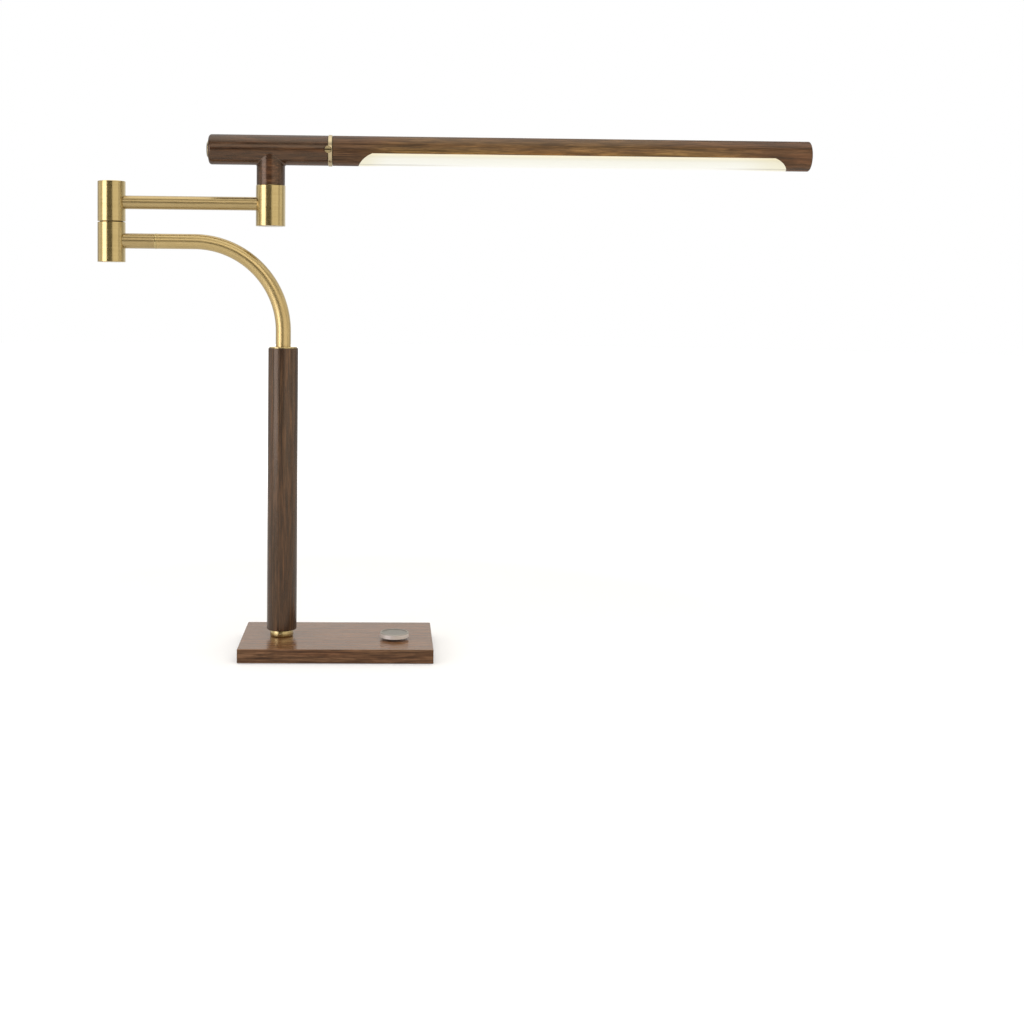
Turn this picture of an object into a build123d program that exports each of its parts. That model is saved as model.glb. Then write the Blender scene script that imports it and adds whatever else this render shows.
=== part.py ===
from build123d import *
import os

# Swing-arm desk lamp in walnut and brass, in millimetres.
# Origin: the middle of the base's underside, on the desk. +Z is up, +X runs
# towards the dimmer end of the base and the tip of the light, +Y is the back.

# Fits and small clearances
PIVOT_FIT = 0.05          # radial play of a shaft that turns in its hole
BEARING_PLAY = 0.05       # end play beside a washer that carries a turning piece
SEAT_FIT = 0.05           # radial play of a piece that is glued or screwed in
LEAD_GAP = 0.4            # break between the stretches of lead at each pivot
WOOD_PLAY = 0.25          # joint line round metal let into the base
CUT_OVER = 1.0            # how far a cutting shape stands past what it cuts
EDGE_REACH = 0.01         # how near a plane an edge is counted as in it

# Base
BASE_LENGTH = 200.0
BASE_WIDTH = 120.0
BASE_THICKNESS = 14.1
BASE_CORNER = 1.2
BASE_ARRIS = 0.5
BASE_WALL = 6.0           # wood left round the pocket in the underside
POCKET_CORNER = 6.0
COVER_THICKNESS = 1.5
BALLAST_THICKNESS = 7.5
SHEET_THICKNESS = 0.6
SHEET_INSET = 4.0

COVER_SCREW_D = 3.0
COVER_SCREW_HEAD_D = 5.6
COVER_SCREW_LENGTH = 7.0
COVER_SCREW_INSET = 9.0   # from the cover's edges to the screws
SCREW_SOCKET_FLATS = 2.0
SCREW_SOCKET_DEPTH = 0.8

# Grommet in the back edge, for a supply lead
GROMMET_BORE = 4.6
GROMMET_WALL = 0.8
GROMMET_LIP = 1.3
GROMMET_LIP_THICKNESS = 1.0
GROMMET_LIP_ROUND = 0.6

# Column and the parts that clamp it
COLUMN_INSET = 41.2       # from the base's left end to the column's axis
COLUMN_D = 31.3
COLUMN_LENGTH = 296.8
COLUMN_ARRIS = 0.5
COLLAR_D = 24.8
COLLAR_HEIGHT = 7.4
COLLAR_ROUND = 3.4        # both edges, which makes the collar a bead
TIE_ROD_D = 10.0
TIE_ROD_BORE = 6.5
TIE_ROD_ROOM = 0.5        # free ring round the rod in the column's bore
TIE_WASHER_D = 22.0
TIE_WASHER_THICKNESS = 1.0
TIE_NUT_FLATS = 16.0
TIE_NUT_HEIGHT = 3.5
NUT_ROOM = 1.5            # free ring round the nut and its washer
FERRULE_D = 29.6
FERRULE_RIM = 1.2
FERRULE_ARRIS = 0.4
SOCKET_D = 22.0
SOCKET_DEPTH = 26.0
SOCKET_FLOOR = 5.0

# Bent tube and the elbow at its end
BENT_TUBE_D = 15.8
BENT_TUBE_WALL = 1.5
BEND_RADIUS = 92.7
TUBE_RISE = 16.2          # straight part between the ferrule and the bend
TUBE_RUN = 86.3           # from the end of the bend to the elbow's axis
STUB_LENGTH = 46.3        # from the elbow's axis to the seam with the bent tube
SEAM_GROOVE = 0.3
COUPLER_LENGTH = 30.0
COUPLER_WALL = 1.5

# Barrels of the two pivots
BARREL_D = 28.8
BARREL_HEIGHT = 41.5
LOWER_TUBE_UP = 22.1      # tube's axis above the foot of the lower barrel
UPPER_TUBE_UP = 19.8      # arm's axis above the foot of the upper barrel
BARREL_GAP = 0.8
BARREL_BORE = 21.0
BARREL_END_WALL = 6.0
BARREL_ARRIS = 0.4
HEAD_BARREL_D = 30.8
HEAD_BARREL_HEIGHT = 42.4
HEAD_TUBE_UP = 23.2       # arm's axis above the foot of the head barrel
LID_THICKNESS = 2.0
LID_LEDGE = 1.2           # step that each lid sits on

# Hollow pivot bolts with their washers and nuts
PIVOT_D = 12.0
PIVOT_BORE = 6.0
PIVOT_FLANGE_D = 20.0
PIVOT_FLANGE_THICKNESS = 3.0
PIVOT_TAIL = 0.8          # thread that stands past the nut
SLIP_WASHER_D = 18.0
SLIP_WASHER_THICKNESS = 1.0
CONE_WASHER_D = 18.0
CONE_WASHER_THICKNESS = 0.9
CONE_WASHER_RISE = 0.6
PIVOT_NUT_FLATS = 16.0
PIVOT_NUT_HEIGHT = 5.0
GLIDE_WASHER_D = 24.0
GLIDE_CLEAR = 0.3         # from a glide washer's hole to the bolt in it

# Upper arm
ARM_LENGTH = 165.1        # elbow's axis to the head's axis
ARM_D = 14.0
ARM_WALL = 1.5

# Wooden tee of the head
HEAD_D = 31.2
NECK_D = 29.5
NECK_LENGTH = 36.5        # neck's foot to the axis of the light
NECK_BLEND = 1.5
NECK_GAP = 0.25
GLIDE_SINK = 0.6          # depth of the recess that a glide washer lies in
TEE_LEFT = 64.1
TEE_RIGHT = 59.8
TEE_END_ROUND = 3.0
TEE_BORE = 20.0
NECK_INSERT_LENGTH = 17.0
NECK_LEAD_HOLE = 8.0
END_CAP_D = 16.2
END_CAP_PROUD = 2.0
END_CAP_ROUND = 1.2
END_CAP_PLUG = 12.0

# Ring and sleeve that the light rolls in
RING_D = 32.6
RING_WIDTH = 4.3
RING_ARRIS = 0.5
RING_GAP = 0.3
SLEEVE_LENGTH = 32.5
LOCK_SCREW_HEAD_D = 7.2
LOCK_SCREW_HEAD_HEIGHT = 2.6
LOCK_SCREW_SHANK_D = 3.0
LOCK_SCREW_SLOT = 1.3
LOCK_SCREW_SLOT_DEPTH = 1.1
LOCK_SCREW_SET = 4.2      # screw's axis, left of the ring's right face
LOCK_SCREW_BACK = 1.2     # from the roll bolt to the screw's tip

# Light bar
BAR_LENGTH = 500.0
BAR_END_ROUND = 1.5
BAR_PLUG_LENGTH = 18.0
BAR_END_CAP_DEPTH = 12.0
WINDOW_START = 26.8       # bar's left end to the window's lowest corner there
WINDOW_STOP = 24.6        # the same at the bar's right end
WINDOW_DROP = 3.6         # flat of the window below the bar's axis
WINDOW_END_RUN = 14.5     # each rounded end's reach along the bar
WINDOW_END_BULGE = 0.085  # bulge of a rounded end, as a share of its chord
DIFFUSER_PLAY = 0.1
DIFFUSER_WALL = 1.8
CHANNEL_WIDTH = 20.0
CHANNEL_HEIGHT = 8.0
CHANNEL_WEB = 2.0
CHANNEL_SIDE = 1.5
CHANNEL_INSET = 3.0       # from the end of the window's flat to the channel
CHANNEL_SCREW_D = 3.0
CHANNEL_SCREW_HEAD_D = 5.5
CHANNEL_SCREW_HEAD_HEIGHT = 1.6
CHANNEL_SCREW_LENGTH = 9.0
CHANNEL_SCREW_INSET = 5.0
CHANNEL_SCREW_ASIDE = 4.5  # from the bar's axis, to leave the lead its way
BOARD_WIDTH = 12.0
BOARD_THICKNESS = 1.2
BOARD_INSET = 10.0        # from the channel's ends to the board's ends
LED_LENGTH = 3.5
LED_WIDTH = 2.8
LED_HEIGHT = 0.8
LED_PITCH = 15.0

# Dimmer
KNOB_FROM_END = 39.7      # from the base's right end to the knob's axis
KNOB_FROM_FRONT = 46.0    # from the base's front edge to the knob's axis
KNOB_D = 30.0
KNOB_THICKNESS = 4.8
KNOB_LIFT = 2.6           # from the base's top to the knob's underside
KNOB_ARRIS = 0.6
KNOB_DISH = 0.4           # sink of the face inside the knob's rim
KNOB_RIM = 1.6
KNOB_RECESS_D = 22.0
KNOB_RECESS = 1.2
KNOB_BOSS_D = 10.0
KNOB_FACE = 0.8           # metal left over the shaft's end
KNOB_TRAVEL = 1.0
DIMMER_SHAFT_D = 6.0
DIMMER_FLAT = 0.8         # depth of the flat along the shaft's lower end
DIMMER_BUSH_D = 9.0
DIMMER_NUT_FLATS = 12.0
DIMMER_NUT_HEIGHT = 1.4
DIMMER_HOUSING = 12.0
DIMMER_FLOOR = 0.8
DIMMER_ROTOR_D = 8.4
DIMMER_ROTOR_HEIGHT = 3.6
DOME_D = 5.0
DOME_HEIGHT = 0.35
DOME_THICKNESS = 0.2
TURN_CLEAR = 0.3          # free space beside a dimmer part that turns or sinks

# Driver board, which lies behind and around the dimmer
DRIVER_LENGTH = 38.0
DRIVER_THICKNESS = 1.2
DRIVER_LIFT = 0.4
DRIVER_CLEAR = 1.5        # from the board to the weight
DRIVER_FRONT = 3.0        # from the dimmer's housing to the board's front edge
DRIVER_BACK = 3.0         # from the board's back edge to the pocket's wall
PART_INSET = 5.0          # from the board's edges to the middle of a part there
COIL_D = 9.0
COIL_HEIGHT = 4.6
CAPACITOR_D = 6.3
CAPACITOR_HEIGHT = 5.2
CHIP_LENGTH = 6.0
CHIP_WIDTH = 5.0
CHIP_HEIGHT = 1.3
TERMINAL_LENGTH = 6.0
TERMINAL_WIDTH = 7.0
TERMINAL_HEIGHT = 4.8

# Lead to the light, and its way under the weight
LEAD_D = 2.6
LEAD_PLAY = 0.1           # from the lead to the cover under it
LEAD_TURN = 3.6           # tight bend inside a barrel
BASE_LEAD_TURN = 2.5      # bend up into the rod
HEAD_LEAD_TURN = 7.2      # bend inside the tee
BALLAST_SLOT = 5.0
BALLAST_SLOT_DEPTH = 4.0

# Heights in the base
base_low = SHEET_THICKNESS
base_top = base_low + BASE_THICKNESS
cover_top = base_low + COVER_THICKNESS
pocket_top = cover_top + BALLAST_THICKNESS
pocket_length = BASE_LENGTH - 2 * BASE_WALL
pocket_width = BASE_WIDTH - 2 * BASE_WALL

# The dimmer's axis, and the driver board's edges
knob_x = BASE_LENGTH / 2 - KNOB_FROM_END
knob_y = KNOB_FROM_FRONT - BASE_WIDTH / 2
driver_front = knob_y - DIMMER_HOUSING / 2 - DRIVER_FRONT
driver_back = pocket_width / 2 - DRIVER_BACK
driver_left = knob_x - DRIVER_LENGTH / 2
driver_right = knob_x + DRIVER_LENGTH / 2

# The column's axis and the heights up to the ferrule
column_x = COLUMN_INSET - BASE_LENGTH / 2
column_low = base_top + COLLAR_HEIGHT
column_top = column_low + COLUMN_LENGTH
ferrule_top = column_top + FERRULE_RIM
socket_low = column_top - SOCKET_DEPTH
tube_low = socket_low + SOCKET_FLOOR

# The elbow
tube_z = ferrule_top + TUBE_RISE + BEND_RADIUS
elbow_x = column_x - BEND_RADIUS - TUBE_RUN
seam_x = elbow_x + STUB_LENGTH
lower_barrel_low = tube_z - LOWER_TUBE_UP
lower_barrel_top = lower_barrel_low + BARREL_HEIGHT
upper_barrel_low = lower_barrel_top + BARREL_GAP
upper_barrel_top = upper_barrel_low + BARREL_HEIGHT
arm_z = upper_barrel_low + UPPER_TUBE_UP

# The head
head_x = elbow_x + ARM_LENGTH
head_barrel_low = arm_z - HEAD_TUBE_UP
head_barrel_top = head_barrel_low + HEAD_BARREL_HEIGHT
neck_low = head_barrel_top + NECK_GAP
head_z = neck_low + NECK_LENGTH
bar_left = TEE_RIGHT + RING_WIDTH + RING_GAP
bar_right = bar_left + BAR_LENGTH
head_radius = HEAD_D / 2

# A pivot bolt's washers and nut, from the wall that they pull on
pivot_stack = (SLIP_WASHER_THICKNESS + CONE_WASHER_THICKNESS + CONE_WASHER_RISE
               + PIVOT_NUT_HEIGHT + BEARING_PLAY)

UP = (Align.CENTER, Align.CENTER, Align.MIN)


def upright(diameter, low, high, x=0.0, y=0.0):
    """A round bar that stands between two heights."""
    return Pos(x, y, low) * Cylinder(diameter / 2, high - low, align=UP)


def lying(diameter, start, end, x=0.0, z=0.0):
    """A round bar along X between two stations, which are counted from x."""
    return Pos(x + start, 0, z) * Rot(0, 90, 0) * Cylinder(diameter / 2, end - start, align=UP)


def block(length, width, low, high, x=0.0, y=0.0):
    """A block centred on x and y between two heights."""
    return Pos(x, y, low) * Box(length, width, high - low, align=UP)


def rounded_plate(length, width, corner, low, high):
    """A plate with rounded corners, centred on the origin."""
    return Pos(0, 0, low) * extrude(RectangleRounded(length, width, corner), high - low)


def hexagon(flats, low, high, x=0.0, y=0.0):
    """A hexagonal bar, as a nut's outside."""
    return Pos(x, y, low) * extrude(RegularPolygon(flats / 2, 6, major_radius=False), high - low)


def washer(outer, inner, low, high, x=0.0, y=0.0):
    """A flat ring."""
    return upright(outer, low, high, x, y) - upright(inner, low, high, x, y)


def end_rings(shape, axis, position):
    """The round edges of a shape that lie in one plane across an axis."""
    rings = shape.edges().filter_by(GeomType.CIRCLE)
    return rings.filter_by_position(axis, position - EDGE_REACH, position + EDGE_REACH)


def outer_ring(shape, axis, position):
    """The largest of those edges."""
    return end_rings(shape, axis, position).sort_by(SortBy.RADIUS)[-1]


def at_elbow(shape):
    """Stand a shape that was made round Z on the elbow's axis."""
    return Pos(elbow_x, 0, 0) * shape


def at_head(shape):
    """Move a shape from the light's own frame to its place."""
    return Pos(head_x, 0, head_z) * shape


# Base: a walnut slab, pocketed from below for the weight and the electronics

def driver_window():
    """The opening in the weight that holds the driver board, open to the back."""
    length = DRIVER_LENGTH + 2 * DRIVER_CLEAR
    front = driver_front - DRIVER_CLEAR
    back = pocket_width / 2
    return block(length, back - front, cover_top, pocket_top, knob_x, (front + back) / 2)


def grommet_axis(shape):
    """Lay a shape that was made round Z along +Y, on the lead hole's axis."""
    return Pos(knob_x, BASE_WIDTH / 2, (cover_top + pocket_top) / 2) * Rot(-90, 0, 0) * shape


def screw_places():
    """Where the cover's four screws stand."""
    across = pocket_length / 2 - COVER_SCREW_INSET
    deep = pocket_width / 2 - COVER_SCREW_INSET
    return [(sx * across, sy * deep) for sx in (-1, 1) for sy in (-1, 1)]


def make_base_plate():
    plate = rounded_plate(BASE_LENGTH, BASE_WIDTH, BASE_CORNER, base_low, base_top)
    top_edges = plate.faces().sort_by(Axis.Z)[-1].edges()
    plate = chamfer(top_edges, BASE_ARRIS)
    plate -= rounded_plate(pocket_length, pocket_width, POCKET_CORNER, base_low, pocket_top)
    plate -= upright(TIE_ROD_D + 2 * WOOD_PLAY, pocket_top, base_top, column_x)
    plate -= upright(DIMMER_BUSH_D + 2 * WOOD_PLAY, pocket_top, base_top, knob_x, knob_y)
    hole = GROMMET_BORE + 2 * GROMMET_WALL
    plate -= grommet_axis(upright(hole, -BASE_WALL, 0))
    return plate


def make_ballast():
    plate = rounded_plate(pocket_length - 2 * WOOD_PLAY, pocket_width - 2 * WOOD_PLAY,
                          POCKET_CORNER, cover_top, pocket_top)
    plate -= driver_window()
    nut_room = TIE_WASHER_D + 2 * NUT_ROOM
    plate -= upright(nut_room, cover_top, pocket_top, column_x)
    slot = driver_left - column_x
    plate -= block(slot, BALLAST_SLOT, cover_top, cover_top + BALLAST_SLOT_DEPTH,
                   column_x + slot / 2)
    for x, y in screw_places():
        tip = base_low + COVER_SCREW_LENGTH
        plate -= upright(COVER_SCREW_D + 2 * SEAT_FIT, cover_top, tip + WOOD_PLAY, x, y)
    return plate


def screw_head(d, head_d, low, high, x, y):
    """The cone of a countersunk head that faces down."""
    return Pos(x, y, low) * Cone(head_d / 2, d / 2, high - low, align=UP)


def make_bottom_cover():
    plate = rounded_plate(pocket_length - 2 * WOOD_PLAY, pocket_width - 2 * WOOD_PLAY,
                          POCKET_CORNER, base_low, cover_top)
    for x, y in screw_places():
        wide = 2 * SEAT_FIT
        plate -= screw_head(COVER_SCREW_D + wide, COVER_SCREW_HEAD_D + wide,
                            base_low, cover_top, x, y)
    return plate


def make_cover_screws():
    screws = []
    for x, y in screw_places():
        head = screw_head(COVER_SCREW_D, COVER_SCREW_HEAD_D, base_low, cover_top, x, y)
        shank = upright(COVER_SCREW_D, cover_top, base_low + COVER_SCREW_LENGTH, x, y)
        socket = Pos(x, y, base_low) * extrude(
            RegularPolygon(SCREW_SOCKET_FLATS / 2, 6, major_radius=False), SCREW_SOCKET_DEPTH)
        screws.append(head + shank - socket)
    return Compound(children=screws)


def make_anti_slip_sheet():
    return rounded_plate(BASE_LENGTH - 2 * SHEET_INSET, BASE_WIDTH - 2 * SHEET_INSET,
                         POCKET_CORNER, 0, base_low)


def make_cord_grommet():
    outer = GROMMET_BORE + 2 * GROMMET_WALL
    body = upright(outer - 2 * SEAT_FIT, -BASE_WALL - GROMMET_LIP_THICKNESS, GROMMET_LIP_THICKNESS)
    body += upright(outer + 2 * GROMMET_LIP, 0, GROMMET_LIP_THICKNESS)
    inner_low = -BASE_WALL - GROMMET_LIP_THICKNESS
    inner_lip = min(outer + 2 * GROMMET_LIP, BALLAST_THICKNESS - 2 * SEAT_FIT)
    body += upright(inner_lip, inner_low, -BASE_WALL)
    body = fillet(outer_ring(body, Axis.Z, GROMMET_LIP_THICKNESS), GROMMET_LIP_ROUND)
    body -= upright(GROMMET_BORE, inner_low, GROMMET_LIP_THICKNESS)
    return grommet_axis(body)


# Column: a bored walnut dowel, clamped between collar and ferrule by a hollow rod

def make_collar():
    collar = upright(COLLAR_D, base_top, column_low, column_x)
    edges = [outer_ring(collar, Axis.Z, base_top), outer_ring(collar, Axis.Z, column_low)]
    collar = fillet(edges, COLLAR_ROUND)
    return collar - upright(TIE_ROD_D + 2 * SEAT_FIT, base_top, column_low, column_x)


def make_column():
    wood = upright(COLUMN_D, column_low, column_top, column_x)
    wood = chamfer([outer_ring(wood, Axis.Z, column_low), outer_ring(wood, Axis.Z, column_top)],
                   COLUMN_ARRIS)
    wood -= upright(TIE_ROD_D + 2 * TIE_ROD_ROOM, column_low, column_top, column_x)
    return wood - upright(SOCKET_D + 2 * SEAT_FIT, socket_low, column_top, column_x)


def tie_rod_low():
    return pocket_top - TIE_WASHER_THICKNESS - TIE_NUT_HEIGHT


def make_tie_rod():
    return washer(TIE_ROD_D, TIE_ROD_BORE, tie_rod_low(), tube_low, column_x)


def make_tie_washer():
    return washer(TIE_WASHER_D, TIE_ROD_D + 2 * SEAT_FIT,
                  pocket_top - TIE_WASHER_THICKNESS, pocket_top, column_x)


def make_tie_nut():
    top = pocket_top - TIE_WASHER_THICKNESS
    low = tie_rod_low()
    return (hexagon(TIE_NUT_FLATS, low, top, column_x)
            - upright(TIE_ROD_D + 2 * SEAT_FIT, low, top, column_x))


def make_ferrule():
    rim = upright(FERRULE_D, column_top, ferrule_top, column_x)
    rim = chamfer(outer_ring(rim, Axis.Z, ferrule_top), FERRULE_ARRIS)
    sleeve = upright(SOCKET_D, socket_low, column_top, column_x)
    bore = upright(BENT_TUBE_D + 2 * SEAT_FIT, tube_low, ferrule_top, column_x)
    rod_hole = upright(TIE_ROD_D + 2 * SEAT_FIT, socket_low, tube_low, column_x)
    return rim + sleeve - bore - rod_hole


# Bent brass tube, from the ferrule to the seam, and the stub on the barrel

def make_bent_tube():
    bend_x = column_x - BEND_RADIUS
    bend_z = tube_z - BEND_RADIUS
    solids = []
    for d in (BENT_TUBE_D, BENT_TUBE_D - 2 * BENT_TUBE_WALL):
        leg = upright(d, tube_low, bend_z, column_x)
        ring = Plane((column_x, 0, bend_z), z_dir=(0, 0, 1)) * Circle(d / 2)
        centre = Axis((bend_x, 0, bend_z), (0, -1, 0))
        bend = revolve(ring, axis=centre, revolution_arc=90)
        run = lying(d, seam_x, bend_x, z=tube_z)
        solids.append(leg + bend + run)
    tube = solids[0] - solids[1]
    return tube - seam_groove()


def seam_groove():
    """The fine line turned where the bent tube meets the stub."""
    ring = lying(BENT_TUBE_D + CUT_OVER, seam_x - SEAM_GROOVE, seam_x + SEAM_GROOVE, z=tube_z)
    core = lying(BENT_TUBE_D - 2 * SEAM_GROOVE, seam_x - SEAM_GROOVE, seam_x + SEAM_GROOVE, z=tube_z)
    return ring - core


def make_elbow_stub():
    start = elbow_x
    stub = lying(BENT_TUBE_D, start, seam_x, z=tube_z)
    stub -= lying(BENT_TUBE_D - 2 * BENT_TUBE_WALL, start, seam_x, z=tube_z)
    stub -= at_elbow(upright(BARREL_BORE, lower_barrel_low, lower_barrel_top))
    return stub - seam_groove()


def make_tube_coupler():
    outer = BENT_TUBE_D - 2 * BENT_TUBE_WALL - 2 * SEAT_FIT
    start = seam_x - COUPLER_LENGTH / 2
    end = seam_x + COUPLER_LENGTH / 2
    sleeve = lying(outer, start, end, z=tube_z)
    return sleeve - lying(outer - 2 * COUPLER_WALL, start, end, z=tube_z)


# Barrels: turned brass cups, closed by lids let in flush

def barrel(diameter, low, high, mouth_down, side_hole_d, side_hole_z, x, side):
    """A cup whose end wall holds a pivot bolt, with a hole in its side for a tube."""
    cup = upright(diameter, low, high, x)
    cup = chamfer([outer_ring(cup, Axis.Z, low), outer_ring(cup, Axis.Z, high)], BARREL_ARRIS)
    lid_d = BARREL_BORE + 2 * LID_LEDGE
    if mouth_down:
        cup -= upright(BARREL_BORE, low, high - BARREL_END_WALL, x)
        cup -= upright(lid_d, low, low + LID_THICKNESS, x)
        cup -= upright(PIVOT_D + 2 * PIVOT_FIT, high - BARREL_END_WALL, high, x)
    else:
        cup -= upright(BARREL_BORE, low + BARREL_END_WALL, high, x)
        cup -= upright(lid_d, high - LID_THICKNESS, high, x)
        cup -= upright(PIVOT_D + 2 * SEAT_FIT, low, low + BARREL_END_WALL, x)
    reach = diameter
    hole = lying(side_hole_d + 2 * SEAT_FIT, min(0, side * reach), max(0, side * reach),
                 x=x, z=side_hole_z)
    return cup - hole


def lid(low, x):
    return upright(BARREL_BORE + 2 * LID_LEDGE - 2 * SEAT_FIT, low, low + LID_THICKNESS, x)


def make_lower_barrel():
    return barrel(BARREL_D, lower_barrel_low, lower_barrel_top, True,
                  BENT_TUBE_D, tube_z, elbow_x, 1)


def make_upper_barrel():
    return barrel(BARREL_D, upper_barrel_low, upper_barrel_top, False,
                  ARM_D, arm_z, elbow_x, 1)


def make_head_barrel():
    cup = barrel(HEAD_BARREL_D, head_barrel_low, head_barrel_top, True,
                 ARM_D, arm_z, head_x, -1)
    return cup - upright(GLIDE_WASHER_D + 2 * SEAT_FIT, head_barrel_top - GLIDE_SINK,
                         head_barrel_top, head_x)


def make_arm_tube():
    tube = lying(ARM_D, 0, ARM_LENGTH, x=elbow_x, z=arm_z)
    tube -= lying(ARM_D - 2 * ARM_WALL, 0, ARM_LENGTH, x=elbow_x, z=arm_z)
    tube -= upright(BARREL_BORE, upper_barrel_low, upper_barrel_top, elbow_x)
    return tube - upright(BARREL_BORE, head_barrel_low, head_barrel_top, head_x)


# Pivot hardware, made round Z with the wall that it pulls on at height 0

def pivot_bolt(tail, reach, flange):
    """A hollow bolt from its nut end, tail below the wall, to reach above it."""
    bolt = upright(PIVOT_D, -tail, reach)
    if flange:
        bolt += upright(PIVOT_FLANGE_D, reach - PIVOT_FLANGE_THICKNESS, reach)
    return bolt - upright(PIVOT_BORE, -tail, reach)


def pivot_washers():
    """A flat slip washer, and a dished spring washer under it."""
    top = -BEARING_PLAY
    high = top - SLIP_WASHER_THICKNESS
    slip = washer(SLIP_WASHER_D, PIVOT_D + 2 * SEAT_FIT, high, top)
    inner = PIVOT_D / 2 + SEAT_FIT
    outer = CONE_WASHER_D / 2
    t = CONE_WASHER_THICKNESS
    low = high - CONE_WASHER_RISE
    outline = Plane.XZ * Polyline((inner, low), (outer, high), (outer, high - t),
                                  (inner, low - t), close=True)
    return Compound(children=[slip, revolve(make_face(outline), axis=Axis.Z)])


def pivot_nut():
    high = PIVOT_NUT_HEIGHT - pivot_stack
    nut = hexagon(PIVOT_NUT_FLATS, -pivot_stack, high)
    return nut - upright(PIVOT_D + 2 * SEAT_FIT, -pivot_stack, high)


elbow_wall = lower_barrel_top - BARREL_END_WALL
head_wall = head_barrel_top - BARREL_END_WALL
bolt_tail = pivot_stack + PIVOT_TAIL


def on_elbow_wall(shape):
    return Pos(elbow_x, 0, elbow_wall) * shape


def on_head_wall(shape):
    return Pos(head_x, 0, head_wall) * shape


def on_sleeve_end(shape):
    """Lay pivot hardware along the light's axis, against the sleeve's inner end."""
    return at_head(Pos(TEE_RIGHT - SLEEVE_LENGTH, 0, 0) * Rot(0, 90, 0) * shape)


def make_elbow_bolt():
    flange_top = upper_barrel_low + BARREL_END_WALL + PIVOT_FLANGE_THICKNESS
    return on_elbow_wall(pivot_bolt(bolt_tail, flange_top - elbow_wall, True))


def make_elbow_glide():
    return washer(GLIDE_WASHER_D, PIVOT_D + 2 * GLIDE_CLEAR, lower_barrel_top,
                  upper_barrel_low - BEARING_PLAY, elbow_x)


def make_neck_bolt():
    top = neck_low + NECK_INSERT_LENGTH - head_wall
    return on_head_wall(pivot_bolt(bolt_tail, top, False))


def make_neck_glide():
    return washer(GLIDE_WASHER_D, PIVOT_D + 2 * GLIDE_CLEAR, head_barrel_top - GLIDE_SINK,
                  neck_low - BEARING_PLAY, head_x)


# Head: a walnut tee on the neck bolt. Its pieces are made with the light's
# axis along X and the upright axis at the origin.

def make_tee():
    cross = lying(HEAD_D, -TEE_LEFT, TEE_RIGHT)
    cross = fillet(outer_ring(cross, Axis.X, -TEE_LEFT), TEE_END_ROUND)
    cross = chamfer(outer_ring(cross, Axis.X, TEE_RIGHT), RING_ARRIS)
    tee = cross + upright(NECK_D, -NECK_LENGTH, 0)
    seams = tee.edges().filter_by(GeomType.CIRCLE, reverse=True).filter_by(GeomType.LINE, reverse=True)
    tee = fillet(seams.filter_by_position(Axis.Z, -head_radius, 0), NECK_BLEND)
    tee -= lying(TEE_BORE, -TEE_LEFT, TEE_RIGHT)
    tee -= upright(TEE_BORE, -NECK_LENGTH, NECK_INSERT_LENGTH - NECK_LENGTH)
    tee -= upright(NECK_LEAD_HOLE, NECK_INSERT_LENGTH - NECK_LENGTH, 0)
    tee -= lock_screw_hole()
    return at_head(tee)


def make_neck_insert():
    low = -NECK_LENGTH
    high = low + NECK_INSERT_LENGTH
    return at_head(washer(TEE_BORE - 2 * SEAT_FIT, PIVOT_D + 2 * SEAT_FIT, low, high))


def end_cap(depth):
    """A turned plug that faces -X, with its face proud of the wood at X = 0."""
    face = lying(END_CAP_D, -END_CAP_PROUD, 0)
    face = fillet(outer_ring(face, Axis.X, -END_CAP_PROUD), END_CAP_ROUND)
    return face + lying(END_CAP_D, 0, depth)


def make_tee_cap():
    """A plug that closes the tee's bore, with the same button on its face."""
    plug = end_cap(END_CAP_PLUG)
    plug += lying(TEE_BORE - 2 * SEAT_FIT, 0, END_CAP_PLUG)
    return at_head(Pos(-TEE_LEFT, 0, 0) * plug)


def lock_screw_at(shape):
    """Turn a shape that was made round Z to face -Y at the lock screw's place."""
    x = TEE_RIGHT + RING_WIDTH - LOCK_SCREW_SET
    return Pos(x, -head_radius, 0) * Rot(90, 0, 0) * shape


def lock_screw_hole():
    wide = 2 * SEAT_FIT
    head = upright(LOCK_SCREW_HEAD_D + wide, -LOCK_SCREW_HEAD_HEIGHT, RING_D / 2)
    shank = upright(LOCK_SCREW_SHANK_D + wide, PIVOT_D / 2 - head_radius, 0)
    return lock_screw_at(head + shank)


def make_lock_screw():
    """A slotted screw that pins the sleeve, sunk half in the tee and half in the ring."""
    tip = PIVOT_D / 2 + LOCK_SCREW_BACK - head_radius
    screw = upright(LOCK_SCREW_HEAD_D, -LOCK_SCREW_HEAD_HEIGHT, 0)
    screw = chamfer(outer_ring(screw, Axis.Z, 0), BARREL_ARRIS)
    screw += upright(LOCK_SCREW_SHANK_D, tip, -LOCK_SCREW_HEAD_HEIGHT)
    screw -= block(LOCK_SCREW_HEAD_D + CUT_OVER, LOCK_SCREW_SLOT, -LOCK_SCREW_SLOT_DEPTH, CUT_OVER)
    return at_head(lock_screw_at(screw))


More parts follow.
